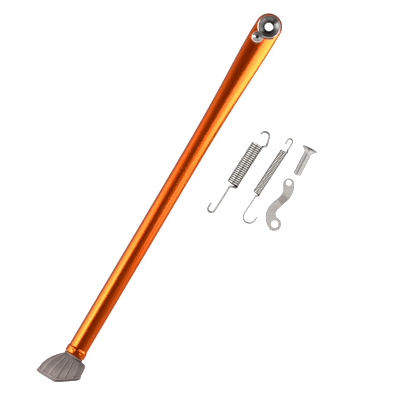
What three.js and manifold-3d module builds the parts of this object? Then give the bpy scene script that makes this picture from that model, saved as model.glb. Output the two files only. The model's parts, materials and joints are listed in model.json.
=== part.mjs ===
// A motorcycle kickstand with its fitting kit, laid out on a bench: the leg with its
// foot, pivot bush and spring post, and beside it the outer and inner return springs, the
// spring link and the pivot bolt.
//
// Millimetres. +Z points up off the bench, along the pivot. +X runs from the foot to the
// head. Every place below is given from the pivot: x and y from its axis, z from the bench.
// The kit is moved at the end, so that the middle of its footprint is the origin.
import * as THREE from "three";
import { mergeVertices } from "three/addons/utils/BufferGeometryUtils.js";
import Module from "manifold-3d";

const wasm = await Module();
wasm.setup();

// ---- Driving dimensions ----

const AXIS_Z = 11; // height of the leg's centre line over the bench
const LEG_Y = 0.45; // the leg's centre line passes this far to the left of the pivot
const SOLE_X = -414.5; // the foot's lowest point, from the pivot

const LEG = {
  tubeRadius: 9.95,
  headRadius: 13.65,
  headY: 0.25, // the head's round end is nearly centred on the pivot
  headHalfHeight: 10.5,
  headSquareness: 2.5, // exponent of the head's superellipse section; 2 is an ellipse
  end: -381.5,
  collarStart: -373.5,
  collarRise: 1.6, // the length over which the collar swells out of the tube
  collarRadius: 10.8,
  collarLip: 0.7, // the collar's lower edge is rounded in by this much
  socketRadius: 7.6,
  socketDepth: 36,
};
// The leg's section along its length: half width, half height and squareness.
const LEG_STATIONS = [
  { x: 0, y: LEG.headY, half: LEG.headRadius, high: LEG.headHalfHeight, power: LEG.headSquareness },
  { x: -20, y: LEG_Y, half: 13.7, high: 10.5, power: 2.5 },
  { x: -35, y: LEG_Y, half: 13.3, high: 10.45, power: 2.45 },
  { x: -50, y: LEG_Y, half: 12.7, high: 10.4, power: 2.4 },
  { x: -80, y: LEG_Y, half: 11.5, high: 10.25, power: 2.25 },
  { x: -110, y: LEG_Y, half: 10.6, high: 10.1, power: 2.1 },
  { x: -140, y: LEG_Y, half: 10.1, high: 10, power: 2.04 },
  { x: -165, y: LEG_Y, half: LEG.tubeRadius, high: LEG.tubeRadius, power: 2 },
  { x: LEG.collarStart, y: LEG_Y, half: LEG.tubeRadius, high: LEG.tubeRadius, power: 2 },
  ...[
    [LEG.collarStart - LEG.collarRise, LEG.collarRadius],
    [LEG.end + LEG.collarLip, LEG.collarRadius],
    [LEG.end, LEG.collarRadius - LEG.collarLip],
  ].map(([x, radius]) => ({ x, y: LEG_Y, half: radius, high: radius, power: 2 })),
];

const BUSH = {
  boreRadius: 4.2, // clears an M8 bolt
  coneRadius: 9.8, // 90 degree seat for the bolt's head
  bodyRadius: 9,
  flangeRadius: 11.6,
  flangeUnder: 8.35, // heights from the leg's centre line
  top: 10.2,
  bottom: -AXIS_Z,
  lip: 0.4, // the chamfer on its edges
};
const SPOTFACE = { radius: 12.9, floor: 8 }; // the flat under the bush's flange
const RUNNING_GAP = 0.35; // between faceted pieces that turn or rest on each other

const POST = {
  x: -14.9,
  y: 4.9,
  bossRadius: 6.4,
  bossTop: 12.2, // heights from the leg's centre line
  stemRadius: 3,
  stemBottom: 1,
  baseRadius: 5,
  baseTop: 13.7,
  grooveRadius: 3.4,
  grooveTop: 21,
  headUnder: 22.4, // the head is at its widest from here
  headRadius: 5.9,
  crown: 23.6, // and is domed from here up
  top: 26.2,
  dimpleRadius: 1,
  dimpleDepth: 1.6,
};

const FOOT = {
  neckX: -382,
  neckRadius: 10.1,
  neckLength: 1.5,
  rimThickness: 4,
  rimLip: 0.7, // how far the sole plate stands out of the fluted side
  flutes: 15,
  flutePhase: THREE.MathUtils.degToRad(80),
  fluteDepth: 1.1,
  leftSwell: 1.1, // the side's curve from the neck to the rim, on the left and on the right:
  rightSwell: 0.25, // under 1 it swells out just below the neck
  slantFrom: 2.5, // the sole slants up on the right of this
  slant: THREE.MathUtils.degToRad(34.5),
  spigotRadius: 7.2,
  spigotLength: 33,
};
const FOOT_LEVELS = [0.06, 0.25, 0.5, 0.75, 1]; // sections of the fluted side, from the neck
const OUTLINE_TENSION = 0.35;
// The sole's outline, from the leg's centre line: to the left, then up off the bench.
const SOLE_OUTLINE = [
  [25.2, 2],
  [22.5, 11],
  [13, 17.5],
  [2, 19],
  [-10, 17.5],
  [-16.8, 10.5],
  [-17.4, 1],
  [-16, -8.5],
  [-9, -AXIS_Z],
  [4, -AXIS_Z],
  [17, -AXIS_Z],
  [23.5, -7],
];

// Each spring is placed by its coil's bottom end. A hook is a straight shank and a round
// bend: shankY is the shank's place across the spring, flare how far it starts out from
// there, reach the bend's far edge from the coil, side the way it bends, and tail the
// straight end after the bend.
const OUTER_SPRING = {
  x: -154.6,
  y: -48.5,
  turn: THREE.MathUtils.degToRad(-2.1),
  length: 48.7,
  meanRadius: 5.5,
  wireRadius: 1.04,
  turns: 22,
  topHook: { shankY: -6.2, flare: -1.9, reach: 14.4, radius: 4.5, side: 1, tail: 0 },
  bottomHook: { shankY: 0.7, flare: 0, reach: 34.7, radius: 3.5, side: 1, tail: 4.5 },
};
const INNER_SPRING = {
  x: -150.2,
  y: -73.9,
  turn: THREE.MathUtils.degToRad(-2.8),
  length: 52.2,
  meanRadius: 3.35,
  wireRadius: 0.7,
  turns: 35,
  topHook: { shankY: -2.2, flare: -0.5, reach: 13, radius: 2.6, side: 1, tail: 4.5 },
  bottomHook: { shankY: -1.1, flare: 0, reach: 29, radius: 6.2, side: -1, tail: 4 },
};

// How a hook leaves its coil: it turns out, comes across and is straight from these
// distances on, in wire radii, and ease is what is left of each bend at the next one.
const HOOK_START = { turn: 1.6, across: 2.6, straight: 6, ease: 0.7 };

const LINK = {
  thickness: 4,
  // The middle line of the S from the spring end to the stud end: place and half width.
  line: [
    [-125.2, -97.2, 5.9],
    [-130.5, -99.9, 5.4],
    [-136.5, -100.8, 4.7],
    [-143.5, -99.2, 4.3],
    [-150.5, -96.9, 4.6],
    [-156.5, -96.1, 4.7],
    [-161.5, -97.8, 5.2],
    [-165, -101.2, 6.2],
    [-167, -105.3, 7],
  ],
  springHole: { x: -124, y: -96.5, radius: 2.9 },
  studHole: { x: -166.8, y: -105.5, radius: 3.8 },
  joggle: 3, // the spring end is set up by this much
  joggleFrom: 12, // and comes down between these two distances along the S
  joggleTo: 22,
};

const BOLT = {
  x: -83.6,
  y: -97.5,
  heading: THREE.MathUtils.degToRad(-176.5), // the way that the shank points
  headRadius: 7.9,
  rimThickness: 1,
  headHeight: 5,
  shankRadius: 3.9,
  length: 30,
  tipChamfer: 1,
  socketRadius: 2.9, // over the corners of a 5 mm hexagon
  socketDepth: 3.2,
};

// How many flats each kind of round shape is drawn with.
const FLATS = {
  tube: 36,
  headEnd: 48,
  headProfile: 18,
  bore: 48,
  boss: 32,
  post: 32,
  dome: 6,
  pin: 24,
  foot: 60,
  soleOutline: 144,
  wire: 6,
  coilTurn: 12,
  topHook: 26,
  bottomHook: 32,
  hookBend: 8,
  link: 22,
  hole: 28,
  bolt: 36,
  hexagon: 6,
};
const ARC_STEPS = 60; // in each turn of a coil, where distance along its wire is measured
const THROUGH = 2 * AXIS_Z; // a cutter this long goes right through the head
const BLOCK = 200; // the sides of a block that cuts the foot flat

// ---- Materials ----

const metal = (color, roughness, metalness = 1) =>
  new THREE.MeshStandardMaterial({ color, roughness, metalness });
const MATERIALS = {
  anodised: metal(0xd8571a, 0.28),
  cast: metal(0x8a7f7b, 0.6),
  steel: metal(0xb9b6b2, 0.25),
  spring: metal(0xb5afa8, 0.35),
  plate: metal(0xb0aca8, 0.45),
};

// ---- Shape helpers ----

// A closed mesh from rings of points, each ring with as many points as the last.
function loft(rings) {
  const sides = rings[0].length;
  const points = rings.flat();
  const faces = [];
  const at = (ring, side) => ring * sides + (side % sides);
  for (let r = 0; r + 1 < rings.length; r++) {
    for (let s = 0; s < sides; s++) {
      faces.push(at(r, s), at(r, s + 1), at(r + 1, s));
      faces.push(at(r, s + 1), at(r + 1, s + 1), at(r + 1, s));
    }
  }
  for (const [ring, flip] of [[0, true], [rings.length - 1, false]]) {
    const middle = points.length;
    const centre = new THREE.Vector3();
    rings[ring].forEach((p) => centre.addScaledVector(p, 1 / sides));
    points.push(centre);
    for (let s = 0; s < sides; s++) {
      const edge = [at(ring, s), at(ring, s + 1)];
      faces.push(middle, ...(flip ? edge.reverse() : edge));
    }
  }
  return new THREE.BufferGeometry().setFromPoints(points).setIndex(faces);
}

// A turned piece about Z from [radius, height] pairs.
function turned(profile, segments) {
  const points = profile.map(([radius, height]) => new THREE.Vector2(radius, height));
  return new THREE.LatheGeometry(points, segments).rotateX(Math.PI / 2);
}

// A rod about Z between two heights.
function rod(radius, from, to, segments) {
  const middle = (from + to) / 2;
  return new THREE.CylinderGeometry(radius, radius, to - from, segments)
    .rotateX(Math.PI / 2)
    .translate(0, 0, middle);
}

function solid(geometry) {
  const bare = geometry.clone();
  Object.keys(bare.attributes)
    .filter((name) => name !== "position")
    .forEach((name) => bare.deleteAttribute(name));
  const merged = mergeVertices(bare, 1e-4);
  const made = new wasm.Manifold(
    new wasm.Mesh({
      numProp: 3,
      vertProperties: merged.attributes.position.array,
      triVerts: new Uint32Array(merged.index.array),
    }),
  );
  if (made.volume() > 0) return made;
  const turnedOut = merged.clone();
  turnedOut.setIndex([...merged.index.array].reverse());
  return solid(turnedOut);
}

function geometryOf(manifold) {
  const { numProp, vertProperties, triVerts } = manifold.getMesh();
  const position = new Float32Array((vertProperties.length / numProp) * 3);
  for (let i = 0; i * 3 < position.length; i++)
    position.set(vertProperties.subarray(i * numProp, i * numProp + 3), i * 3);
  const made = new THREE.BufferGeometry()
    .setAttribute("position", new THREE.BufferAttribute(position, 3))
    .setIndex(new THREE.BufferAttribute(triVerts, 1));
  made.computeVertexNormals();
  return made;
}

function piece(name, manifold, material) {
  const mesh = new THREE.Mesh(geometryOf(manifold), material);
  mesh.name = name;
  return mesh;
}

const mix = (a, b, share) => a + (b - a) * share;
const smooth = (share) => THREE.MathUtils.smoothstep(share, 0, 1);

// ---- The leg, about its own centre height ----

// A superellipse across the leg.
function legSection({ x, y, half, high, power }) {
  const round = (value) => Math.sign(value) * Math.abs(value) ** (2 / power);
  return Array.from({ length: FLATS.tube }, (_, i) => {
    const angle = (2 * Math.PI * i) / FLATS.tube;
    return new THREE.Vector3(x, y + half * round(Math.cos(angle)), high * round(Math.sin(angle)));
  });
}

// The head's round end is the first section turned about the pivot.
function headEnd() {
  const { headRadius, headHalfHeight, headSquareness } = LEG;
  const round = (value) => Math.sign(value) * Math.abs(value) ** (2 / headSquareness);
  const profile = Array.from({ length: FLATS.headProfile + 1 }, (_, i) => {
    const angle = Math.PI * (i / FLATS.headProfile - 0.5);
    return [headRadius * round(Math.cos(angle)), headHalfHeight * round(Math.sin(angle))];
  });
  return turned(profile, FLATS.headEnd).translate(0, LEG.headY, 0);
}

function buildLeg() {
  const shaft = loft(LEG_STATIONS.map(legSection));
  const boss = rod(POST.bossRadius, 0, POST.bossTop, FLATS.boss);
  const bore = rod(BUSH.bodyRadius + RUNNING_GAP, -THROUGH, THROUGH, FLATS.bore);
  const spotface = rod(SPOTFACE.radius, SPOTFACE.floor, THROUGH, FLATS.bore);
  const stemHole = rod(POST.stemRadius + RUNNING_GAP, POST.stemBottom - 1, THROUGH, FLATS.pin);
  const socket = rod(LEG.socketRadius, -1, LEG.socketDepth, FLATS.boss).rotateY(Math.PI / 2);
  return solid(shaft)
    .add(solid(headEnd()))
    .add(solid(boss.translate(POST.x, POST.y, 0)))
    .subtract(solid(bore))
    .subtract(solid(spotface))
    .subtract(solid(stemHole.translate(POST.x, POST.y, 0)))
    .subtract(solid(socket.translate(LEG.end, LEG_Y, 0)));
}

function buildBush() {
  const { boreRadius, coneRadius, bodyRadius, flangeRadius } = BUSH;
  const { flangeUnder, top, bottom, lip } = BUSH;
  return solid(
    turned(
      [
        [boreRadius, bottom],
        [bodyRadius - lip, bottom],
        [bodyRadius, bottom + lip],
        [bodyRadius, flangeUnder],
        [flangeRadius, flangeUnder],
        [flangeRadius, top - lip],
        [flangeRadius - lip, top],
        [coneRadius + lip, top],
        [coneRadius, top - lip],
        [boreRadius, top - lip - (coneRadius - boreRadius)],
        [boreRadius, bottom],
      ],
      FLATS.bore,
    ),
  );
}

function buildPost() {
  const { stemRadius, stemBottom, baseRadius, bossTop, baseTop, grooveRadius, grooveTop } = POST;
  const { headUnder, headRadius, crown, top, dimpleRadius, dimpleDepth } = POST;
  const baseUnder = bossTop + RUNNING_GAP;
  const dome = Array.from({ length: FLATS.dome }, (_, i) => {
    const angle = (i * Math.PI) / (2 * FLATS.dome);
    return [headRadius * Math.cos(angle), crown + (top - crown) * Math.sin(angle)];
  });
  return solid(
    turned(
      [
        [0, stemBottom],
        [stemRadius, stemBottom],
        [stemRadius, baseUnder],
        [baseRadius, baseUnder],
        [baseRadius, baseTop],
        [grooveRadius, baseTop],
        [grooveRadius, grooveTop],
        [headRadius, headUnder],
        ...dome,
        [dimpleRadius, top],
        [dimpleRadius, top - dimpleDepth],
        [0, top - dimpleDepth],
      ],
      FLATS.post,
    ),
  );
}

// ---- The foot ----

// How far the sole lies from its centre in one direction across the leg.
function soleReach(angle) {
  const outline = new THREE.CatmullRomCurve3(
    SOLE_OUTLINE.map(([left, up]) => new THREE.Vector3(left, up, 0)),
    true,
    "catmullrom",
    OUTLINE_TENSION,
  ).getPoints(FLATS.soleOutline);
  const ray = new THREE.Vector2(Math.cos(angle), Math.sin(angle));
  for (let i = 0; i + 1 < outline.length; i++) {
    const [p, q] = [outline[i], outline[i + 1]];
    const across = (v) => v.x * ray.y - v.y * ray.x;
    const [a, b] = [across(p), across(q)];
    if (a * b > 0 || a === b) continue;
    const hit = p.clone().lerp(q, a / (a - b));
    if (hit.x * ray.x + hit.y * ray.y > 0) return Math.hypot(hit.x, hit.y);
  }
  throw new Error("the sole outline has to go round the leg's centre line");
}

// The sole, which is square to the leg on the left and slants up on the right.
const soleX = (left) => SOLE_X + Math.max(0, FOOT.slantFrom - left) * Math.tan(FOOT.slant);

// One line of points down the foot's side in one direction, from the neck past the sole.
function footLine(angle) {
  const reach = soleReach(angle);
  const [c, s] = [Math.cos(angle), Math.sin(angle)];
  const bulge = mix(FOOT.leftSwell, FOOT.rightSwell, Math.max(0, -c));
  const neckEnd = FOOT.neckX - FOOT.neckLength;
  const rimTop = soleX(reach * c) + FOOT.rimThickness;
  const inner = reach - FOOT.rimLip;
  const at = (x, radius) => new THREE.Vector3(x, LEG_Y + radius * c, radius * s);
  const line = [at(FOOT.neckX, FOOT.neckRadius), at(neckEnd, FOOT.neckRadius)];
  const flute = Math.abs(Math.sin((FOOT.flutes * (angle - FOOT.flutePhase)) / 2));
  for (const share of FOOT_LEVELS) {
    const cut = FOOT.fluteDepth * flute * Math.min(1, 2 * share);
    const swell = Math.sin((Math.PI / 2) * share ** bulge);
    const radius = mix(FOOT.neckRadius, inner, swell) - cut;
    line.push(at(mix(neckEnd, rimTop, share), radius));
  }
  line.push(at(rimTop - FOOT.rimLip / 2, reach), at(SOLE_X - FOOT.rimThickness, reach));
  return line;
}

function buildFoot() {
  const lines = Array.from({ length: FLATS.foot }, (_, i) =>
    footLine((2 * Math.PI * i) / FLATS.foot),
  );
  const rings = lines[0].map((_, level) => lines.map((line) => line[level]));
  const block = () => new THREE.BoxGeometry(BLOCK, BLOCK, BLOCK).translate(-BLOCK / 2, 0, 0);
  const bench = block().rotateY(-Math.PI / 2).translate(SOLE_X, 0, -AXIS_Z);
  const flat = block().translate(SOLE_X, 0, 0);
  const slanted = block().rotateZ(FOOT.slant).translate(SOLE_X, LEG_Y + FOOT.slantFrom, 0);
  const spigot = rod(FOOT.spigotRadius, -FOOT.neckLength, FOOT.spigotLength, FLATS.boss)
    .rotateY(Math.PI / 2)
    .translate(FOOT.neckX, LEG_Y, 0);
  return solid(loft(rings))
    .add(solid(spigot))
    .subtract(solid(bench))
    .subtract(solid(flat))
    .subtract(solid(slanted));
}

// ---- The springs, each along its own X from its bottom end ----

class Helix extends THREE.Curve {
  constructor({ length, meanRadius, wireRadius, turns }) {
    super();
    Object.assign(this, { length, meanRadius, wireRadius, turns });
    this.arcLengthDivisions = ARC_STEPS * turns;
  }

  getPoint(share, target = new THREE.Vector3()) {
    const angle = 2 * Math.PI * this.turns * share + Math.PI;
    const run = this.length - 2 * this.wireRadius;
    return target.set(
      this.wireRadius + run * share,
      this.meanRadius * Math.cos(angle),
      this.meanRadius * Math.sin(angle),
    );
  }
}

function wire(curve, radius, steps) {
  const section = Array.from({ length: FLATS.wire }, (_, i) => {
    const angle = (2 * Math.PI * i) / FLATS.wire;
    return new THREE.Vector2(radius * Math.cos(angle), radius * Math.sin(angle));
  });
  const options = { steps, extrudePath: curve, bevelEnabled: false };
  return solid(new THREE.ExtrudeGeometry(new THREE.Shape(section), options));
}

// A hook's middle line, which runs along +X from the coil's end at x = 0. It leaves the last
// turn along its tangent, then turns into the shank within a few wire radii.
function hookLine(end, tangent, wireRadius, { shankY, flare, reach, radius, side, tail }) {
  const leave = (along, out) => {
    const point = end.clone().addScaledVector(tangent, along);
    return point.setX(point.x + out);
  };
  const { turn, across, straight, ease } = HOOK_START;
  const corner = leave(turn * wireRadius, wireRadius);
  const points = [
    leave(1.5 * RUNNING_GAP, RUNNING_GAP),
    corner,
    new THREE.Vector3(across * wireRadius, shankY + flare, ease * corner.z),
    new THREE.Vector3(straight * wireRadius, shankY + ease * flare, 0),
  ];
  const bendX = reach - radius;
  for (let i = 0; i <= FLATS.hookBend; i++) {
    const angle = (Math.PI * i) / FLATS.hookBend;
    const y = shankY + side * radius * (1 - Math.cos(angle));
    points.push(new THREE.Vector3(bendX + radius * Math.sin(angle), y, 0));
  }
  if (tail) points.push(points.at(-1).clone().add(new THREE.Vector3(-tail, 0, 0)));
  return new THREE.CatmullRomCurve3(points, false, "centripetal");
}

function buildSpring(name, spring) {
  const { length, wireRadius, turns, topHook, bottomHook } = spring;
  const helix = new Helix(spring);
  const flip = (v) => v.multiply(new THREE.Vector3(-1, 1, 1));
  const topEnd = helix.getPoint(1).setX(-wireRadius);
  const top = hookLine(topEnd, helix.getTangent(1), wireRadius, topHook);
  const bottomTangent = flip(helix.getTangent(0).negate());
  const bottom = hookLine(flip(helix.getPoint(0)), bottomTangent, wireRadius, bottomHook);
  const parts = {
    coil: wire(helix, wireRadius, turns * FLATS.coilTurn),
    top_hook: wire(top, wireRadius, FLATS.topHook).translate([length, 0, 0]),
    bottom_hook: wire(bottom, wireRadius, FLATS.bottomHook).mirror([1, 0, 0]),
  };
  return Object.entries(parts).map(([part, shape]) =>
    piece(name + "_" + part, shape, MATERIALS.spring),
  );
}

function placeSpring(name, spring) {
  const group = new THREE.Group();
  group.add(...buildSpring(name, spring));
  group.position.set(spring.x, spring.y, spring.meanRadius + spring.wireRadius);
  group.rotation.z = spring.turn;
  return group;
}

// ---- The spring link ----

function buildLink() {
  const { line, thickness, joggle, joggleFrom, joggleTo } = LINK;
  const curve = new THREE.CatmullRomCurve3(
    line.map(([x, y, half]) => new THREE.Vector3(x, y, half)),
    false,
    "centripetal",
  );
  const total = curve.getLength();

  // A section of the plate at a share of the middle line. An angle from -90 to 90 degrees
  // takes it round the plate's end, before the line's start or past its end.
  const section = (share, angle = 0) => {
    const point = curve.getPointAt(share);
    const half = point.z;
    const along = curve.getTangentAt(share).setZ(0).normalize();
    const across = new THREE.Vector3(-along.y, along.x, 0);
    const lower = smooth((total * share - joggleFrom) / (joggleTo - joggleFrom));
    const lift = joggle * (1 - lower);
    point.addScaledVector(along, half * Math.sin(angle));
    return [[1, 0], [1, 1], [-1, 1], [-1, 0]].map(([side, up]) =>
      point
        .clone()
        .addScaledVector(across, side * half * Math.cos(angle))
        .setZ(lift + up * thickness),
    );
  };
  const endAngles = [20, 40, 60, 80].map(THREE.MathUtils.degToRad);
  const rings = [
    ...[...endAngles].reverse().map((angle) => section(0, -angle)),
    ...Array.from({ length: FLATS.link + 1 }, (_, i) => section(i / FLATS.link)),
    ...endAngles.map((angle) => section(1, angle)),
  ];
  const hole = ({ x, y, radius }) =>
    solid(rod(radius, -thickness, 2 * thickness + joggle, FLATS.hole).translate(x, y, 0));
  return solid(loft(rings)).subtract(hole(LINK.springHole)).subtract(hole(LINK.studHole));
}

// ---- The pivot bolt, turned about Z with its head's flat face at z = 0 ----

function buildBolt() {
  const { headRadius, rimThickness, headHeight, shankRadius, length, tipChamfer } = BOLT;
  const body = turned(
    [
      [0, -length],
      [shankRadius - tipChamfer, -length],
      [shankRadius, -length + tipChamfer],
      [shankRadius, -headHeight],
      [headRadius, -rimThickness],
      [headRadius, 0],
      [0, 0],
    ],
    FLATS.bolt,
  );
  const socket = rod(BOLT.socketRadius, -BOLT.socketDepth, 1, FLATS.hexagon);
  return solid(body).subtract(solid(socket));
}

// The bolt lies on its head's rim and the end of its shank.
function placeBolt() {
  const { x, y, heading, headRadius, shankRadius, length, tipChamfer, rimThickness } = BOLT;
  const dip = Math.atan2(headRadius - shankRadius, length - tipChamfer - rimThickness);
  const height = headRadius * Math.cos(dip) + rimThickness * Math.sin(dip);
  const bolt = piece("pivot_bolt", buildBolt(), MATERIALS.steel);
  bolt.rotation.y = dip - Math.PI / 2;
  const group = new THREE.Group();
  group.add(bolt);
  group.position.set(x, y, height);
  group.rotation.z = heading;
  return group;
}

// ---- The kit ----

function placeLegParts() {
  const group = new THREE.Group();
  const post = piece("spring_post", buildPost(), MATERIALS.steel);
  post.position.set(POST.x, POST.y, 0);
  group.add(
    piece("leg", buildLeg(), MATERIALS.anodised),
    piece("foot", buildFoot(), MATERIALS.cast),
    piece("pivot_bush", buildBush(), MATERIALS.steel),
    post,
  );
  group.position.z = AXIS_Z;
  return group;
}

const kit = new THREE.Group();
kit.add(
  placeLegParts(),
  placeSpring("outer_spring", OUTER_SPRING),
  placeSpring("inner_spring", INNER_SPRING),
  piece("spring_link", buildLink(), MATERIALS.plate),
  placeBolt(),
);
const footprint = new THREE.Box3().setFromObject(kit, true);
const middle = footprint.getCenter(new THREE.Vector3());
kit.position.set(-middle.x, -middle.y, -footprint.min.z);

export default kit;
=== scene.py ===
import json
import math

import bmesh
import bpy
import numpy as np
from mathutils import Matrix, Vector


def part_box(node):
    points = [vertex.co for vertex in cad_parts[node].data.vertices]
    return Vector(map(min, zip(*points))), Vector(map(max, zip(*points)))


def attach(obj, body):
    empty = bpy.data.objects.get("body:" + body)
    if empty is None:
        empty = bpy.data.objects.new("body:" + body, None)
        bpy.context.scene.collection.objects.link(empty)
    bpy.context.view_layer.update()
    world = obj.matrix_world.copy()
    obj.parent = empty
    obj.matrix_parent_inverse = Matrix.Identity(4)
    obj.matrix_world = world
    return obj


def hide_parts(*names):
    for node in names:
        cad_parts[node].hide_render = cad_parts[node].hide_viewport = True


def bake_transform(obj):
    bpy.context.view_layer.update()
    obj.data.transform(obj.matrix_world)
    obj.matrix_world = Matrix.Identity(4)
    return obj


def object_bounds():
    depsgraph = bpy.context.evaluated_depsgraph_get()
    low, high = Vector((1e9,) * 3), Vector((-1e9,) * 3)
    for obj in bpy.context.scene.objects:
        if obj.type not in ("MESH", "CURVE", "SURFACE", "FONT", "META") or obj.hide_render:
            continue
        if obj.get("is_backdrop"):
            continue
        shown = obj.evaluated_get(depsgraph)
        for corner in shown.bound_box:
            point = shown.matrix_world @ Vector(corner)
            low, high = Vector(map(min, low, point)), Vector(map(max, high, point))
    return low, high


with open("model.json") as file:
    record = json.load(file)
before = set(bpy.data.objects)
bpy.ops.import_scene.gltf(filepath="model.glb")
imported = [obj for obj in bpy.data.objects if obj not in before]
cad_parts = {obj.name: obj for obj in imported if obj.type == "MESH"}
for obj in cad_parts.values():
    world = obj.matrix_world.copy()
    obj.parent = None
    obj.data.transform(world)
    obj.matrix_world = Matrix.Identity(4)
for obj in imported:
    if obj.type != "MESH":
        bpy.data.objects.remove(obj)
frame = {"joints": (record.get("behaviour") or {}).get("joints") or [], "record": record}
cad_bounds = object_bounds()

# The looks of a motorcycle kickstand and its fitting kit, laid out on a pale bench.
# Lengths are in metres, and each piece is made where the frame says that it is.

MM = 0.001
JOINTS = {joint["name"]: joint for joint in frame["joints"]}
MOUNTS = {mount["name"]: mount for mount in frame["record"]["mounts"]}
PIVOT = Vector(JOINTS["leg_swing"]["pos_m"])  # on the leg's centre height
BENCH_Z = 0.0

# ---- Sizes of the leg, from the pivot: x runs to the foot, away from the head ----

LEG_SIDE = 0.45 * MM  # the leg's centre line passes this far to the left of the pivot
HEAD_SIDE = 0.25 * MM
TUBE_R = 9.95 * MM
FLARE = 3.7 * MM  # the head is this much wider on each side than the tube
HEAD_RISE = 0.55 * MM  # and this much higher
HEAD_SQUARE = 0.4  # added to the section's exponent at the head, which is 2 on the tube
FLARE_START = 15 * MM
FLARE_LENGTH = 68 * MM
FLARE_POWER = 1.7
LEG_END = 381.5 * MM
COLLAR_START = 373.4 * MM
COLLAR_STEP = 2.3 * MM
COLLAR_R = 10.8 * MM
COLLAR_LIP = 1.0 * MM  # the rounding of its lower edge along the leg, and inwards
COLLAR_LIP_IN = 0.7 * MM
SOCKET_R = 7.6 * MM
SOCKET_DEPTH = 36 * MM
CRIMPS = 8
CRIMP_TURN = math.radians(18)
CRIMP_X = 376.8 * MM
CRIMP_DEPTH = 0.35 * MM
CRIMP_ACROSS = 1.5 * MM
CRIMP_ALONG = 1.0 * MM

# How finely the leg is drawn: points round it, the first and last of its sections and the
# step between them in millimetres, and the steps of its rounded parts.
LEG_SIDES = 128
TUBE_SECTIONS = (2, 368, 2.0)
COLLAR_SECTIONS = (368, 380.4, 0.3)
COLLAR_LIP_STEPS = 7
HEAD_END_STEPS = 72

# What shapes the head: (radius, height, rounding) in millimetres from its middle height.
THROUGH = 30  # this far goes past either face of the head
POST_BOSS = [(0, 0), (6.4, 0), (6.4, 12.2, 0.5), (0, 12.2)]
SPOTFACE = [(0, 7.8), (12.9, 7.8, 0.3), (12.9, THROUGH), (0, THROUGH)]
BUSH_BORE = [(0, -THROUGH), (9.35, -THROUGH), (9.35, THROUGH), (0, THROUGH)]


# ---- Mesh tools ----

ROUND_STEPS = 6  # points along each rounded corner of a profile
SPLINE_STEPS = 8  # and along each span of a curve


def new_object(name, points, faces):
    """An object in the scene from points and faces."""
    mesh = bpy.data.meshes.new(name)
    mesh.from_pydata([tuple(p) for p in points], [], faces)
    mesh.validate()
    obj = bpy.data.objects.new(name, mesh)
    bpy.context.scene.collection.objects.link(obj)
    return obj


def grid_faces(rows, columns):
    """Quads between neighbouring rows of points, each row a closed ring."""
    faces = []
    for r in range(rows - 1):
        for c in range(columns):
            a, b = r * columns + c, r * columns + (c + 1) % columns
            faces.append((a, b, b + columns, a + columns))
    return faces


def loft(name, rings):
    """A closed skin over rings of points, with a flat face at each end."""
    rings = np.asarray(rings, float)
    rows, columns = rings.shape[:2]
    faces = grid_faces(rows, columns)
    faces.append(tuple(range(columns))[::-1])
    faces.append(tuple(range((rows - 1) * columns, rows * columns)))
    return new_object(name, rings.reshape(-1, 3), faces)


def rounded(corners):
    """A profile of (radius, height, rounding) corners with the corners rounded off."""
    points = [np.array(c[:2], float) for c in corners]
    profile = [points[0]]
    for i in range(1, len(points) - 1):
        here, size = points[i], corners[i][2] if len(corners[i]) > 2 else 0
        if not size:
            profile.append(here)
            continue
        sides = [points[i - 1] - here, points[i + 1] - here]
        ends = [here + s / np.linalg.norm(s) * min(size, np.linalg.norm(s) / 2) for s in sides]
        for t in np.linspace(0, 1, ROUND_STEPS):
            profile.append((1 - t) ** 2 * ends[0] + 2 * t * (1 - t) * here + t * t * ends[1])
    profile.append(points[-1])
    return profile


def turned(name, corners, segments):
    """A piece turned about Z. A profile that starts away from the axis closes on itself."""
    profile = [p * MM for p in rounded(corners)]
    closed = profile[0][0] > 0
    angles = np.linspace(0, 2 * math.pi, segments, endpoint=False)
    ring = np.stack([np.cos(angles), np.sin(angles)], 1)
    inner = profile if closed else profile[1:-1]
    points = [(*(ring[s] * r), z) for r, z in inner for s in range(segments)]
    faces = grid_faces(len(inner), segments)
    if closed:
        last = (len(inner) - 1) * segments
        for s in range(segments):
            n = (s + 1) % segments
            faces.append((last + s, last + n, n, s))
    else:
        for end, row, order in ((profile[0], 0, 1), (profile[-1], len(inner) - 1, -1)):
            pole = len(points)
            points.append((0, 0, end[1]))
            for s in range(segments):
                edge = (row * segments + (s + 1) % segments, row * segments + s)
                faces.append((pole, *edge[::order]))
    return new_object(name, points, faces)


def place(obj, matrix):
    """Moves an object's points and returns it."""
    obj.data.transform(matrix)
    obj.data.update()
    return obj


def combine(obj, operation, tool):
    """Joins tool to obj or cuts it away, and removes it."""
    modifier = obj.modifiers.new("combine", "BOOLEAN")
    modifier.operation, modifier.object, modifier.solver = operation, tool, "EXACT"
    bpy.context.view_layer.objects.active = obj
    bpy.ops.object.modifier_apply(modifier=modifier.name)
    bpy.data.objects.remove(tool)


def finish_piece(obj, node_names, body, material, sharp=32):
    """Smooth shading, outward faces, a material and a place in the frame."""
    clean(obj)
    keep_inside(obj)
    obj.data.shade_smooth()
    obj.data.set_sharp_from_angle(angle=math.radians(sharp))
    obj.data.materials.clear()
    obj.data.materials.append(material)
    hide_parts(*node_names)
    if body:
        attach(obj, body)
    return obj


def keep_inside(obj):
    points = np.array([v.co for v in obj.data.vertices])
    points = np.clip(points, *(np.array(corner) for corner in cad_bounds))
    obj.data.vertices.foreach_set("co", points.ravel())
    obj.data.update()


def clean(obj):
    """Merges points that coincide and turns all faces outwards."""
    bm = bmesh.new()
    bm.from_mesh(obj.data)
    bmesh.ops.remove_doubles(bm, verts=bm.verts, dist=1e-7)
    bmesh.ops.recalc_face_normals(bm, faces=bm.faces)
    bm.to_mesh(obj.data)
    bm.free()


def smoothstep(t):
    """0 up to t = 0 and 1 from t = 1 on, with a smooth rise between."""
    t = np.clip(t, 0, 1)
    return t * t * (3 - 2 * t)


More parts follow.
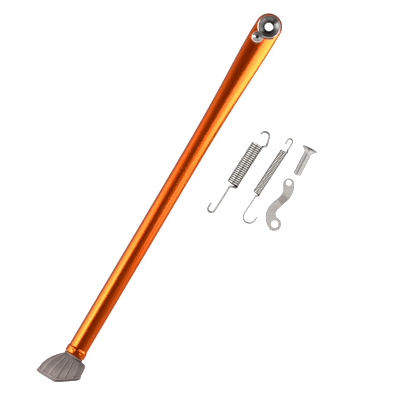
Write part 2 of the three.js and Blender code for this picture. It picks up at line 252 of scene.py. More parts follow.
def spline(points, per_span=SPLINE_STEPS):
    """A centripetal Catmull-Rom curve through the points."""
    p = [np.array(q, float) for q in points]
    p = [2 * p[0] - p[1], *p, 2 * p[-1] - p[-2]]
    out = []
    for i in range(1, len(p) - 2):
        knots = [0.0]
        for a, b in zip(p[i - 1:i + 2], p[i:i + 3]):
            knots.append(knots[-1] + max(np.linalg.norm(b - a), 1e-9) ** 0.5)
        k0, k1, k2, k3 = knots
        for k in np.linspace(k1, k2, per_span, endpoint=False):
            a1 = ((k1 - k) * p[i - 1] + (k - k0) * p[i]) / (k1 - k0)
            a2 = ((k2 - k) * p[i] + (k - k1) * p[i + 1]) / (k2 - k1)
            a3 = ((k3 - k) * p[i + 1] + (k - k2) * p[i + 2]) / (k3 - k2)
            b1 = ((k2 - k) * a1 + (k - k0) * a2) / (k2 - k0)
            b2 = ((k3 - k) * a2 + (k - k1) * a3) / (k3 - k1)
            out.append(((k2 - k) * b1 + (k - k1) * b2) / (k2 - k1))
    out.append(p[-2])
    return np.array(out)


# ---- The leg ----

def flare(t):
    """1 at the head and 0 on the straight tube, at a distance t from the pivot."""
    return np.exp(-(np.maximum(0, t - FLARE_START) / FLARE_LENGTH) ** FLARE_POWER)


def section(t, radius):
    """The leg's section at t. radius is the tube's there, which the head adds to."""
    f = flare(t)
    half, high = radius + FLARE * f, radius + HEAD_RISE * f
    power = 2 + HEAD_SQUARE * f
    angle = np.linspace(0, 2 * math.pi, LEG_SIDES, endpoint=False)
    c, s = np.cos(angle), np.sin(angle)
    side = HEAD_SIDE + (LEG_SIDE - HEAD_SIDE) * smoothstep(t / FLARE_START)
    y = side + half * np.sign(c) * np.abs(c) ** (2 / power)
    z = high * np.sign(s) * np.abs(s) ** (2 / power)
    return np.stack([np.full(LEG_SIDES, -t), y, z], 1)


def crimp(ring):
    """Presses the crimp marks into a ring of the collar."""
    y, z = ring[:, 1] - LEG_SIDE, ring[:, 2]
    radius, around = np.hypot(y, z), np.arctan2(y, z)
    dent = np.zeros(len(ring))
    for i in range(CRIMPS):
        turn = around - CRIMP_TURN - 2 * math.pi * i / CRIMPS
        turn = (turn + math.pi) % (2 * math.pi) - math.pi
        across, along = radius * turn / CRIMP_ACROSS, (-ring[:, 0] - CRIMP_X) / CRIMP_ALONG
        dent += CRIMP_DEPTH * np.exp(-((across ** 2 + along ** 2) ** 2))
    keep = (1 - dent / radius)[:, None]
    middle = np.array([0, LEG_SIDE, 0])
    return ring * [1, 0, 0] + middle + (ring - middle) * [0, 1, 1] * keep


def leg_rings():
    """The leg's sections from the pivot down, then those of its socket."""
    stations = [(t, TUBE_R) for t in np.arange(*TUBE_SECTIONS) * MM]
    for t in np.arange(*COLLAR_SECTIONS) * MM:
        step = smoothstep((t - COLLAR_START) / COLLAR_STEP)
        stations.append((t, TUBE_R + (COLLAR_R - TUBE_R) * step))
    for angle in np.linspace(0.1, 1, COLLAR_LIP_STEPS) * math.pi / 2:
        reach = LEG_END - COLLAR_LIP * (1 - math.sin(angle))
        stations.append((reach, COLLAR_R - COLLAR_LIP_IN * (1 - math.cos(angle))))
    rings = [section(0, TUBE_R)]
    rings += [crimp(section(t, r)) for t, r in stations]
    for depth in (0.0, SOCKET_DEPTH):
        rings.append(section(LEG_END - depth, SOCKET_R))
    return np.array(rings)


def add_head_end(points, faces, first):
    """The head's round end: the right half of the first ring, turned about the pivot."""
    top, bottom, steps = LEG_SIDES // 4, 3 * LEG_SIDES // 4, HEAD_END_STEPS
    half = first[top:bottom + 1]
    columns = [list(range(top, bottom + 1))]
    for i in range(1, steps):
        turn = math.pi * i / steps
        reach = half[1:-1, 1] - HEAD_SIDE
        start = len(points)
        for r, z in zip(reach, half[1:-1, 2]):
            points.append((-r * math.sin(turn), HEAD_SIDE + r * math.cos(turn), z))
        columns.append([top, *range(start, start + len(reach)), bottom])
    columns.append([(top - i) % LEG_SIDES for i in range(top + LEG_SIDES - bottom + 1)])
    for left, right in zip(columns, columns[1:]):
        for i in range(len(left) - 1):
            face = (left[i], left[i + 1], right[i + 1], right[i])
            faces.append(tuple(dict.fromkeys(face)))


def make_leg(material):
    rings = leg_rings()
    rows = len(rings)
    points = list(rings.reshape(-1, 3))
    faces = grid_faces(rows, LEG_SIDES)
    faces.append(tuple(range((rows - 1) * LEG_SIDES, rows * LEG_SIDES)))
    add_head_end(points, faces, rings[0])
    leg = new_object("anodised_leg", points, faces)
    clean(leg)

    post = post_place() - PIVOT
    boss = turned("boss", POST_BOSS, 64)
    combine(leg, "UNION", place(boss, Matrix.Translation((post.x, post.y, 0))))
    combine(leg, "DIFFERENCE", turned("spotface", SPOTFACE, 128))
    combine(leg, "DIFFERENCE", turned("bore", BUSH_BORE, 128))
    place(leg, Matrix.Translation(PIVOT))
    return finish_piece(leg, ["leg"], "leg", material)


def post_place():
    """The post's axis at the leg's centre height."""
    low, high = (Vector(c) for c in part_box("spring_post"))
    return Vector(((low.x + high.x) / 2, (low.y + high.y) / 2, PIVOT.z))


# ---- The turned pieces in the head ----

BUSH_SHADE_R = 10.1  # the bush's cone and bore, and the post's dimple, get painted shade inside these radii
POST_SHADE_R = 1.4
SHADE_FADE = 0.1


def paint_recess_shade(obj, radius):
    """Marks the painted shade inside a piece turned about Z, up to a radius in millimetres."""
    points = np.array([v.co for v in obj.data.vertices]) / MM
    inside = np.clip((radius - np.hypot(points[:, 0], points[:, 1])) / SHADE_FADE, 0, 1)
    obj.data.attributes.new("painted_recess_shade", "FLOAT", "POINT").data.foreach_set("value", inside)


def make_bush(material):
    corners = [
        (4.2, -11),
        (8.6, -11, 0.3),
        (9.0, -10.6, 0.3),
        (9.0, 8.3),
        (11.6, 8.3, 0.3),
        (11.6, 9.6, 0.5),
        (10.75, 10.2, 0.4),
        (10.2, 10.2, 0.2),
        (9.95, 9.6, 0.2),
        (9.6, 9.3, 0.2),
        (5.2, 5.85, 0.3),
        (5.0, 4.9, 0.2),
        (4.2, 4.6, 0.2),
        (4.2, -11),
    ]
    bush = turned("turned_bush", corners, 128)
    paint_recess_shade(bush, BUSH_SHADE_R)
    place(bush, Matrix.Translation(PIVOT))
    return finish_piece(bush, ["pivot_bush"], "bush", material)


def make_post(material):
    corners = [
        (0, 1),
        (3, 1, 0.3),
        (3, 12.4),
        (5.1, 12.4, 0.3),
        (5.1, 13.6, 0.4),
        (3.5, 14.2, 0.6),
        (3.5, 20.6, 0.7),
        (5.9, 21.6, 0.6),
        (5.9, 23.2, 0.6),
        (4.9, 24.6, 0.8),
        (3.8, 24.9, 0.5),
        (1.7, 26.2, 0.5),
        (1.35, 25.7, 0.2),
        (1.2, 22.4),
        (0, 22.4),
    ]
    post = turned("turned_post", corners, 96)
    paint_recess_shade(post, POST_SHADE_R)
    place(post, Matrix.Translation(post_place()))
    return finish_piece(post, ["spring_post"], "leg", material)


# ---- The foot, from the pivot as the leg is ----

FOOT_NECK = 381.9 * MM
FOOT_NECK_R = 10.1 * MM
FOOT_NECK_LENGTH = 2.2 * MM
SOLE_T = PIVOT.x - MOUNTS["sole"]["pos_m"][0]
SLANT_FROM = 2.5 * MM
SLANT = math.radians(34.5)
RIM = 4.3 * MM
RIM_GAP = 0.1 * MM  # the groove between the fluted side and the rim's round edge
RIM_LIP = 0.8 * MM  # how far the rim stands out of the fluted side where the sole slants
RIM_EDGE = 1.0 * MM  # and how long its round upper edge is there
RIM_SHOULDER = 0.4 * MM  # the same two where the sole is flat
RIM_ROUND = 3.2 * MM
RIM_FLAT_HIGHLIGHT = 0.3  # painted light on the rim and sole edges, from 1, a painted highlight, to -1, the darkest painted shade: this much highlight where the sole is flat
# and this much painted shade on the sole's edge where it slants
RIM_SLANT_SHADE = 1.0
SIDE_CHANGE = 2.0 * MM  # the rim changes from one to the other over this
SOLE_EDGE = 2.6 * MM
SOLE_CORNER = 3.5 * MM
SWELL_LEFT = 0.85  # the side's curve from the neck to the rim: the lower, the fuller
SWELL_DROP = 0.6  # it is this much lower on the right
BLADES = 16
BLADE_TURN = math.radians(80)
BLADE_STEP = 1.15 * MM
BLADE_CREST = 0.9  # where a blade's edge lies across it
BLADE_START = 6  # one in this many of the side's length passes before they are full height
CREST_WIDTH = 0.065  # the painted highlight line on a blade's edge, and how bright it is
CREST_HIGHLIGHT = 0.8
SPIGOT_R = 7.2 * MM
SPIGOT_LENGTH = 33 * MM
SPIGOT_CHAMFER = 0.5 * MM
SPIGOT_END_R = 0.2 * MM
NECK_CHAMFER = 0.3 * MM
NECK_LIP = 0.4 * MM
NECK_INSET = 0.5 * MM  # the fluted side starts this far inside the neck
FOOT_COLUMNS = 20 * BLADES
SIDE_LEVELS, ROUND_LEVELS, SOLE_LEVELS = 34, 8, 26
SIDE_CROWDING = 1.2  # over 1, the side's levels lie closer together at the neck
# The sole's outline from the leg's centre line: to the left, then up off the bench.
SOLE_OUTLINE = [
    (25.2, 2), (22.5, 11), (13, 17.5), (2, 19), (-10, 17.5), (-16.8, 10.5),
    (-17.4, 1), (-16, -8.5), (-9, -11), (4, -11), (17, -11), (23.5, -7),
]


def sole_reach(angles):
    """How far the sole lies from its centre in each direction across the leg."""
    loop = SOLE_OUTLINE[-3:] + SOLE_OUTLINE + SOLE_OUTLINE[:3]
    curve = spline(loop, 24) * MM
    curve[:, 1] = np.maximum(curve[:, 1], -PIVOT.z)
    around = np.unwrap(np.arctan2(curve[:, 1], curve[:, 0]))
    reach = np.hypot(curve[:, 0], curve[:, 1])
    order = np.argsort(around)
    around, reach = around[order], reach[order]
    wanted = around.mean() + (angles - around.mean() + math.pi) % (2 * math.pi) - math.pi
    return np.interp(wanted, around, reach)


def sole_t(y):
    """The sole's place along the leg: flat on the left, slanting up past a round corner."""
    past = SLANT_FROM - y
    bend = np.clip(past + SOLE_CORNER, 0, 2 * SOLE_CORNER) ** 2 / (4 * SOLE_CORNER)
    return SOLE_T - (bend + np.maximum(0, past - SOLE_CORNER)) * math.tan(SLANT)


class FootShape:
    """What the foot's sections share, by the direction across the leg."""

    def __init__(self):
        self.angle = np.linspace(0, 2 * math.pi, FOOT_COLUMNS, endpoint=False)
        self.c, self.s = np.cos(self.angle), np.sin(self.angle)
        self.reach = sole_reach(self.angle)
        self.rim_top = sole_t(self.reach * self.c) - RIM
        self.flat = smoothstep((self.reach * self.c - SLANT_FROM) / SIDE_CHANGE)
        self.lip = RIM_LIP + (RIM_SHOULDER - RIM_LIP) * self.flat
        self.inner = self.reach - self.lip
        self.neck_end = FOOT_NECK + FOOT_NECK_LENGTH

    def ring(self, t, radius):
        t, radius = (np.broadcast_to(v, self.angle.shape) for v in (t, radius))
        return np.stack([-t, LEG_SIDE + radius * self.c, radius * self.s], 1)


# Each of the next four gives rings of the foot and how bright each is painted, as painted
# highlight or shade, in that order.

def foot_neck(shape):
    spigot = FOOT_NECK - SPIGOT_LENGTH
    outline = [
        (spigot, SPIGOT_END_R),
        (spigot, SPIGOT_R - SPIGOT_CHAMFER),
        (spigot + SPIGOT_CHAMFER, SPIGOT_R),
        (FOOT_NECK, SPIGOT_R),
        (FOOT_NECK, FOOT_NECK_R - NECK_CHAMFER),
        (FOOT_NECK + NECK_CHAMFER, FOOT_NECK_R),
        (shape.neck_end - NECK_LIP, FOOT_NECK_R),
        (shape.neck_end, FOOT_NECK_R - NECK_INSET),
    ]
    for t, radius in outline:
        yield shape.ring(t, radius), 0 * shape.angle


def foot_side(shape):
    saw = ((shape.angle - BLADE_TURN) * BLADES / (2 * math.pi)) % 1
    # Each blade rises slowly to its edge.
    blade = np.minimum(saw / BLADE_CREST, (1 - saw) / (1 - BLADE_CREST))
    # A painted highlight line along each blade's edge, growing with the blades.
    crest = CREST_HIGHLIGHT * np.exp(-(((saw - BLADE_CREST) / CREST_WIDTH) ** 2))
    swell_power = SWELL_LEFT - SWELL_DROP * np.maximum(0, -shape.c)
    for share in np.linspace(0.02, 1, SIDE_LEVELS) ** SIDE_CROWDING:
        swell = np.sin(math.pi / 2 * share ** swell_power)
        rise = min(1, share * BLADE_START)
        radius = (FOOT_NECK_R - NECK_INSET) * (1 - swell) + shape.inner * swell
        radius = radius - BLADE_STEP * rise * (1 - blade)
        t = shape.neck_end + (shape.rim_top - shape.neck_end) * share
        yield shape.ring(t, radius), crest * rise


def foot_rim(shape):
    inner, flat = shape.inner, shape.flat
    edge = RIM_EDGE + (RIM_ROUND - RIM_EDGE) * flat
    yield shape.ring(shape.rim_top + RIM_GAP, inner + RIM_GAP), 0 * flat
    for turn in np.linspace(0.15, 1, ROUND_LEVELS) * math.pi / 2:
        t = shape.rim_top + 2 * RIM_GAP + edge * (1 - math.cos(turn))
        # Painted highlight on the rim's round edge: strongest halfway round where the sole
        # slants, even where it is flat.
        bright = (1 - flat) * math.sin(2 * turn) + flat * RIM_FLAT_HIGHLIGHT
        yield shape.ring(t, inner + shape.lip * math.sin(turn)), bright


def foot_sole(shape):
    reach, flat = shape.reach, shape.flat
    for turn in np.linspace(0, 1, ROUND_LEVELS) * math.pi / 2:
        inset = SOLE_EDGE * (1 - math.cos(turn))
        fall = SOLE_EDGE * (1 - math.sin(turn))
        # Painted light on the sole's edge: highlight where the sole is flat, painted shade where
        # it slants, fading round the edge.
        bright = (flat * RIM_FLAT_HIGHLIGHT - (1 - flat) * RIM_SLANT_SHADE) * math.cos(turn)
        yield shape.ring(sole_t((reach - inset) * shape.c) - fall, reach - inset), bright
    for share in np.linspace(0.97, 0.01, SOLE_LEVELS):
        radius = (reach - SOLE_EDGE) * share
        yield shape.ring(sole_t(radius * shape.c), radius), 0 * flat


def make_foot(material):
    shape = FootShape()
    parts = (foot_neck, foot_side, foot_rim, foot_sole)
    levels = [level for part in parts for level in part(shape)]
    foot = loft("cast_foot", [ring for ring, _ in levels])
    # The painted highlights and shade of the foot's edges, for its material.
    edges = foot.data.attributes.new("edge", "FLOAT", "POINT")
    edges.data.foreach_set("value", np.concatenate([bright for _, bright in levels]))
    place(foot, Matrix.Translation(PIVOT))
    return finish_piece(foot, ["foot"], "leg", material, sharp=38)


# ---- The springs, each along its own x from its coil's bottom end ----

# In millimetres: mean and wire are the coil's middle radius and the wire's. A hook has a
# straight shank and a round bend. shank is the shank's place across the spring, flare how
# far it starts out from there, reach the bend's far edge from the coil, side the way it
# bends, and tail the straight end after the bend.
OUTER = {
    "name": "outer_spring",
    "length": 48.7, "mean": 5.5, "wire": 0.99, "hook_wire": 1.12, "turns": 22,
    "top": {"shank": -6.2, "flare": -1.9, "reach": 14.4, "radius": 4.5, "side": 1, "tail": 0},
    "bottom": {"shank": 0.7, "flare": 0, "reach": 34.7, "radius": 3.5, "side": 1, "tail": 4.5},
}
INNER = {
    "name": "inner_spring",
    "length": 52.2, "mean": 3.35, "wire": 0.7, "hook_wire": 0.86, "turns": 35,
    "top": {"shank": -2.2, "flare": -0.5, "reach": 13.0, "radius": 2.6, "side": 1, "tail": 4.5},
    "bottom": {"shank": -1.1, "flare": 0, "reach": 29, "radius": 6.2, "side": -1, "tail": 4},
}

# How a hook leaves its coil: it turns out, comes across and is straight from these
# distances on, in wire radii, and ease is what is left of each bend at the next one.
HOOK_START = {"turn": 1.6, "across": 2.6, "straight": 6, "ease": 0.7}
HOOK_BEND_POINTS = 13
TURN_STEPS = 20  # the points in each turn of a coil
WIRE_SIDES = 14
WIRE_END = [(0.6, 0.35), (0.88, 0.22), (1, 0)]  # radius and reach of its rounded end, in radii


def helix(spring, share):
    """A point on the coil's middle line, from its bottom end at 0 to its top end at 1."""
    angle = 2 * math.pi * spring["turns"] * share + math.pi
    x = spring["wire"] + (spring["length"] - 2 * spring["wire"]) * share
    return np.array([x, spring["mean"] * math.cos(angle), spring["mean"] * math.sin(angle)])


def hook(end, tangent, wire, spec):
    """A hook's middle line, which runs along +x from the coil's end."""
    start, ease = HOOK_START, HOOK_START["ease"]
    turn = end + tangent * start["turn"] * wire + [wire, 0, 0]
    points = [turn]
    points.append([start["across"] * wire, spec["shank"] + spec["flare"], turn[2] * ease])
    points.append([start["straight"] * wire, spec["shank"] + ease * spec["flare"], 0])
    bend = spec["reach"] - spec["radius"]
    for angle in np.linspace(0, math.pi, HOOK_BEND_POINTS):
        across = spec["shank"] + spec["side"] * spec["radius"] * (1 - math.cos(angle))
        points.append([bend + spec["radius"] * math.sin(angle), across, 0])
    if spec["tail"]:
        points.append(np.array(points[-1]) - [spec["tail"], 0, 0])
    return [np.array(p, float) for p in points]


def wire_mesh(name, path, radii):
    """A round wire along a path, with its ends rounded off a little."""
    path = np.asarray(path)
    tangents = np.gradient(path, axis=0)
    tangents /= np.linalg.norm(tangents, axis=1)[:, None]
    normal = np.cross(tangents[0], [0.3, 0.2, 0.9])
    rings = []
    last = len(path) - 1
    for i, (point, tangent, radius) in enumerate(zip(path, tangents, radii)):
        normal = normal - tangent * (normal @ tangent)
        normal /= np.linalg.norm(normal)
        other = np.cross(tangent, normal)
        circle = [
            math.cos(a) * normal + math.sin(a) * other
            for a in np.linspace(0, 2 * math.pi, WIRE_SIDES, endpoint=False)
        ]
        if i in (0, last):
            out = -tangent if i == 0 else tangent
            cap = [(radius * k, radius * h) for k, h in WIRE_END]
            for r, h in cap if i == 0 else cap[::-1]:
                rings.append([point + out * h + c * r for c in circle])
        else:
            rings.append([point + c * radius for c in circle])
    return loft(name, rings)


HOOK_SHADE = 0.42  # painted shade: the hooks are painted darker than the coil's outside
FLANK_SHADE = 0.5  # and so are the coil's flanks, darker towards the bench


def paint_coil_shade(obj, spring):
    """Marks the wire's painted shade, from 0 to 1: between turns, on the flanks and on the
    hooks.
    """
    points = np.array([v.co for v in obj.data.vertices]) / MM
    outside = np.hypot(points[:, 1], points[:, 2]) - spring["mean"]
    shade_amount = np.clip(1 - outside / spring["wire"], 0, 1)
    crest = np.clip(points[:, 2] / (spring["mean"] + spring["wire"]), 0, 1)
    # Painted shade on the flanks, growing towards the bench.
    shade_amount = np.maximum(shade_amount, FLANK_SHADE * (1 - crest) ** 2)
    ends = (0, spring["length"])
    # The hooks get an even painted shade.
    shade_amount[(points[:, 0] < ends[0]) | (points[:, 0] > ends[1])] = HOOK_SHADE
    coil_shade_attribute = obj.data.attributes.new("groove", "FLOAT", "POINT")
    coil_shade_attribute.data.foreach_set("value", shade_amount)


def make_spring(spring, material):
    name, wire, length = spring["name"], spring["wire"], spring["length"]
    flip = np.array([-1, 1, 1])
    small = 1e-4
    end, start = helix(spring, 1), helix(spring, 0)
    leave = end - helix(spring, 1 - small)
    enter = start - helix(spring, small)
    top = hook(end - [length, 0, 0], leave / np.linalg.norm(leave), wire, spring["top"])
    bottom = hook(start * flip, enter / np.linalg.norm(enter) * flip, wire, spring["bottom"])
    steps = TURN_STEPS * spring["turns"]
    coil = [helix(spring, i / steps) for i in range(steps + 1)]
    top = spline([coil[-2], coil[-1], *[p + [length, 0, 0] for p in top]])[SPLINE_STEPS:]
    bottom = spline([coil[1], coil[0], *[p * flip for p in bottom]])[SPLINE_STEPS:]
    path = np.concatenate([bottom[:0:-1], coil, top[1:]]) * MM

    joint = JOINTS[name + "_stretch"]
    axis = Vector(joint["axis"])
    low, high = (Vector(c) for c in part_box(name + "_coil"))
    base = (low + high) / 2 - axis * length * MM / 2
    turn = Matrix.Rotation(math.atan2(axis.y, axis.x), 4, "Z")
    radii = np.full(len(path), spring["hook_wire"])
    first = len(bottom) - 1
    radii[first:first + len(coil)] = wire
    obj = wire_mesh(name, path, radii * MM)
    paint_coil_shade(obj, spring)
    place(obj, Matrix.Translation(base) @ turn)
    nodes = [f"{name}_{part}" for part in ("coil", "top_hook", "bottom_hook")]
    finish_piece(obj, nodes, None, material, sharp=60)
    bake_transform(obj)
    return obj


# ---- The spring link ----

# The middle line of the S in millimetres from the pivot, with the plate's half width.
LINK_LINE = [
    (-125.2, -97.2, 5.9), (-130.5, -99.9, 5.4), (-136.5, -100.8, 4.7),
    (-143.5, -99.2, 4.3), (-150.5, -96.9, 4.6), (-156.5, -96.1, 4.7),
    (-161.5, -97.8, 5.2), (-165, -101.2, 6.2), (-167, -105.3, 7.0),
]
LINK_THICK = 4.0
LINK_EDGE = 0.7
LINK_JOGGLE = 3.0  # the spring end is set up by this much
LINK_JOGGLE_FROM, LINK_JOGGLE_TO = 12, 22  # and comes down between these two, along the S
# Each hole's place and radius, and how high the plate lies there.
LINK_HOLES = [((-124, -96.5), 2.75, LINK_JOGGLE), ((-166.8, -105.5), 3.6, 0.0)]
LINK_HOLE_RIM = 0.25
# Where the sections lie: round the plate's ends, in degrees, and across its rounded edge.
LINK_END_ANGLES = [89, 84, 78, 72, 65, 57, 48, 38, 27, 14]
LINK_EDGE_SHARES = [0, 0.08, 0.25, 0.5, 0.75, 1]
LINK_FLAT_POINTS, LINK_ACROSS_POINTS = 15, 25


def make_link(material):
    line = spline(LINK_LINE, 14)
    spans = np.linalg.norm(np.diff(line[:, :2], axis=0), axis=1)
    distance = np.concatenate([[0], np.cumsum(spans)])
    along = np.gradient(line[:, :2], axis=0)
    along /= np.linalg.norm(along, axis=1)[:, None]
    stations = []
    arc = np.radians(np.array(LINK_END_ANGLES))
    for a in arc:
        stations.append((line[0, :2] - along[0] * line[0, 2] * math.sin(a), along[0],
                         line[0, 2] * math.cos(a), 0))
    for p, direction, d in zip(line, along, distance):
        stations.append((p[:2], direction, p[2], d))
    for a in arc[::-1]:
        stations.append((line[-1, :2] + along[-1] * line[-1, 2] * math.sin(a), along[-1],
                         line[-1, 2] * math.cos(a), distance[-1]))

    edge = LINK_EDGE * np.array(LINK_EDGE_SHARES)
    rings = []
    for point, direction, half, d in stations:
        across = np.array([-direction[1], direction[0]])
        steps = list(edge[edge < half * 0.9])
        inside = half - (steps[-1] if steps else 0)
        offsets = [half - e for e in steps[:-1]]
        offsets += list(np.linspace(inside, -inside, LINK_FLAT_POINTS))
        offsets += [-(half - e) for e in steps[:-1]][::-1]
        offsets = resample(offsets, LINK_ACROSS_POINTS)
        lower = smoothstep((d - LINK_JOGGLE_FROM) / (LINK_JOGGLE_TO - LINK_JOGGLE_FROM))
        lift = LINK_JOGGLE * (1 - lower)
        top, under = [], []
        for o in offsets:
            q = point + across * o
            inset = edge_inset(q, line)
            top.append((*q, lift + LINK_THICK - inset))
            under.append((*q, lift + inset))
        rings.append(top + under[::-1])
    link = loft("link_plate", np.array(rings) * MM)
    clean(link)
    for (x, y), radius, lift in LINK_HOLES:
        rim = LINK_HOLE_RIM
        low, high = lift - 0.01, lift + LINK_THICK + 0.01
        corners = [(0, low - 3), (radius + rim + 3, low - 3), (radius, low + rim),
                   (radius, high - rim), (radius + rim + 3, high + 3), (0, high + 3)]
        cutter = turned("hole", corners, 64)
        combine(link, "DIFFERENCE", place(cutter, Matrix.Translation((x * MM, y * MM, 0))))
    place(link, Matrix.Translation((PIVOT.x, PIVOT.y, BENCH_Z)))
    return finish_piece(link, ["spring_link"], "link", material)


def resample(values, count):
    """The same run of values with count of them, spaced as the first ones are."""
    return np.interp(np.linspace(0, 1, count), np.linspace(0, 1, len(values)), values)


def edge_inset(point, line):
    """How far the plate's face is rounded down at a point near its edge."""
    gaps = np.linalg.norm(line[:, :2] - point, axis=1)
    from_edge = float(np.max(line[:, 2] - gaps))
    if from_edge >= LINK_EDGE:
        return 0.0
    return LINK_EDGE - math.sqrt(max(0, LINK_EDGE ** 2 - (LINK_EDGE - max(0, from_edge)) ** 2))


# ---- The pivot bolt ----

BOLT_LENGTH = 30
BOLT_SOCKET = [(0, -4), (2.89, -3.2), (2.89, 1), (0, 1)]  # over a 5 mm hexagon's corners


def make_bolt(material):
    corners = [
        (0, -BOLT_LENGTH),
        (2.9, -BOLT_LENGTH, 0.3),
        (3.9, 1 - BOLT_LENGTH, 0.7),
        (3.9, -5, 0.8),
        (7.9, -1, 0.2),
        (7.9, -0.25, 0.25),
        (7.5, 0, 0.15),
        (3.4, 0, 0.2),
        (0, -0.1),
    ]
    bolt = turned("turned_bolt", corners, 96)
    clean(bolt)
    combine(bolt, "DIFFERENCE", turned("socket", BOLT_SOCKET, 6))
    tip = Vector(MOUNTS["bolt_tip_face"]["pos_m"])
    axis = Vector(MOUNTS["bolt_tip_face"]["axis"])
    turn = (-axis).to_track_quat("Z", "Y").to_matrix().to_4x4()
    place(bolt, Matrix.Translation(tip - axis * BOLT_LENGTH * MM) @ turn)
    return finish_piece(bolt, ["pivot_bolt"], "bolt", material)


# ---- Materials ----

class Surface:
    """A material built from nodes, with short names for what the recipes repeat."""

    def __init__(self, name, **sockets):
        self.material = bpy.data.materials.new(name)
        self.material.use_nodes = True
        self.tree = self.material.node_tree
        self.shader = self.tree.nodes["Principled BSDF"]
        for socket, value in sockets.items():
            self.shader.inputs[socket.replace("_", " ")].default_value = value
        self.place = self.add("ShaderNodeTexCoord").outputs["Object"]

    def add(self, kind, **values):
        """A new node with its properties set."""
        node = self.tree.nodes.new(kind)
        for key, value in values.items():
            setattr(node, key, value)
        return node

    def link(self, source, target):
        self.tree.links.new(source, target)

    def noise(self, scale, stretch=(1, 1, 1), detail=4, roughness=0.55):
        mapping = self.add("ShaderNodeMapping")
        mapping.inputs["Scale"].default_value = stretch
        self.link(self.place, mapping.inputs["Vector"])
        node = self.add("ShaderNodeTexNoise")
        node.inputs["Scale"].default_value = scale
        node.inputs["Detail"].default_value = detail
        node.inputs["Roughness"].default_value = roughness
        self.link(mapping.outputs["Vector"], node.inputs["Vector"])
        return node.outputs["Fac"]

    def ramp(self, source, stops):
        node = self.add("ShaderNodeValToRGB")
        elements = node.color_ramp.elements
        while len(elements) < len(stops):
            elements.new(0.5)
        for element, (position, color) in zip(elements, stops):
            element.position = position
            element.color = (*color, 1) if isinstance(color, tuple) else (color,) * 3 + (1,)
        self.link(source, node.inputs["Fac"])
        return node.outputs["Color"]

    def range(self, source, low, high, out_low, out_high):
        node = self.add("ShaderNodeMapRange")
        values = ("From Min", low), ("From Max", high), ("To Min", out_low), ("To Max", out_high)
        for key, value in values:
            node.inputs[key].default_value = value
        self.link(source, node.inputs["Value"])
        return node.outputs["Result"]

    def mix(self, factor, a, b, mode="MIX"):
        node = self.add("ShaderNodeMix", data_type="RGBA", blend_type=mode)
        for socket, value in ((0, factor), (6, a), (7, b)):
            if isinstance(value, (int, float)):
                node.inputs[socket].default_value = value
            else:
                self.link(value, node.inputs[socket])
        return node.outputs[2]

    def bump(self, height, strength, distance, under=None):
        node = self.add("ShaderNodeBump")
        node.inputs["Strength"].default_value = strength
        node.inputs["Distance"].default_value = distance
        self.link(height, node.inputs["Height"])
        if under:
            self.link(under, node.inputs["Normal"])
        return node.outputs["Normal"]

    def set(self, socket, source):
        self.link(source, self.shader.inputs[socket])


def anodised_material():
    s = Surface("anodised_orange", Metallic=1.0, Coat_Weight=0.4, Coat_Roughness=0.2)
    along = (1, 220, 220)  # drawing lines run along the leg
    lines = s.noise(20, along, detail=5, roughness=0.6)
    cloud = s.noise(14, (0.35, 1, 1), detail=3)
    specks = s.noise(2600, detail=2)
    color = s.ramp(cloud, [(0.3, (0.79, 0.150, 0.020)), (0.7, (0.84, 0.175, 0.028))])
    pits = s.ramp(specks, [(0.26, (0.6, 0.4, 0.3)), (0.34, (1.0, 1.0, 1.0))])
    s.set("Base Color", s.mix(0.35, color, pits, "MULTIPLY"))
    s.set("Roughness", s.range(lines, 0.3, 0.7, 0.24, 0.32))
    s.set("Normal", s.bump(lines, 0.04, 0.00001, s.bump(specks, 0.02, 0.00001)))
    return s.material


def cast_material():
    s = Surface("cast_grey", Metallic=0.3)
    grain = s.noise(2300, detail=5, roughness=0.65)
    lumps = s.noise(420, detail=4)
    cloud = s.noise(60, detail=4)
    base = s.ramp(cloud, [(0.3, (0.295, 0.252, 0.240)), (0.7, (0.355, 0.308, 0.295))])
    # Painted shade: hollow places, found by the mesh's pointiness, are darkened to 0.7.
    corners = s.add("ShaderNodeNewGeometry").outputs["Pointiness"]
    hollow_shade = s.ramp(corners, [(0.44, 0.7), (0.5, 1.0)])
    # Painted highlights and painted shade on the foot's edges, from the marks made with its
    # rings.
    edge = s.add("ShaderNodeAttribute", attribute_name="edge").outputs["Fac"]
    painted_edge_light = s.ramp(s.range(edge, -1, 1, 0, 1), [(0.0, 0.5), (0.5, 1.0), (1.0, 1.8)])
    base_with_painted_light = s.mix(1.0, base, painted_edge_light, "MULTIPLY")
    fine = s.ramp(grain, [(0.3, 0.82), (0.7, 1.12)])
    shaded = s.mix(1.0, base_with_painted_light, hollow_shade, "MULTIPLY")
    s.set("Base Color", s.mix(1.0, shaded, fine, "MULTIPLY"))
    s.set("Roughness", s.range(lumps, 0.3, 0.7, 0.5, 0.68))
    s.set("Normal", s.bump(grain, 0.5, 0.00012, s.bump(lumps, 0.35, 0.00025)))
    return s.material


def turned_material():
    s = Surface("turned_steel", Metallic=1.0)
    smear = s.noise(90, detail=4)
    fine = s.noise(3200, (1, 1, 6), detail=3, roughness=0.7)
    # Painted shade: the marked recesses are darkened to 0.42 of the steel's colour.
    painted_recess_shade = s.add("ShaderNodeAttribute", attribute_name="painted_recess_shade").outputs["Fac"]
    bright = s.ramp(smear, [(0.3, (0.66, 0.645, 0.625)), (0.7, (0.76, 0.745, 0.725))])
    shade = s.ramp(painted_recess_shade, [(0.0, 1.0), (1.0, 0.42)])
    s.set("Base Color", s.mix(1.0, bright, shade, "MULTIPLY"))
    s.set("Roughness", s.range(smear, 0.3, 0.7, 0.2, 0.3))
    s.set("Normal", s.bump(fine, 0.05, 0.00002))
    return s.material


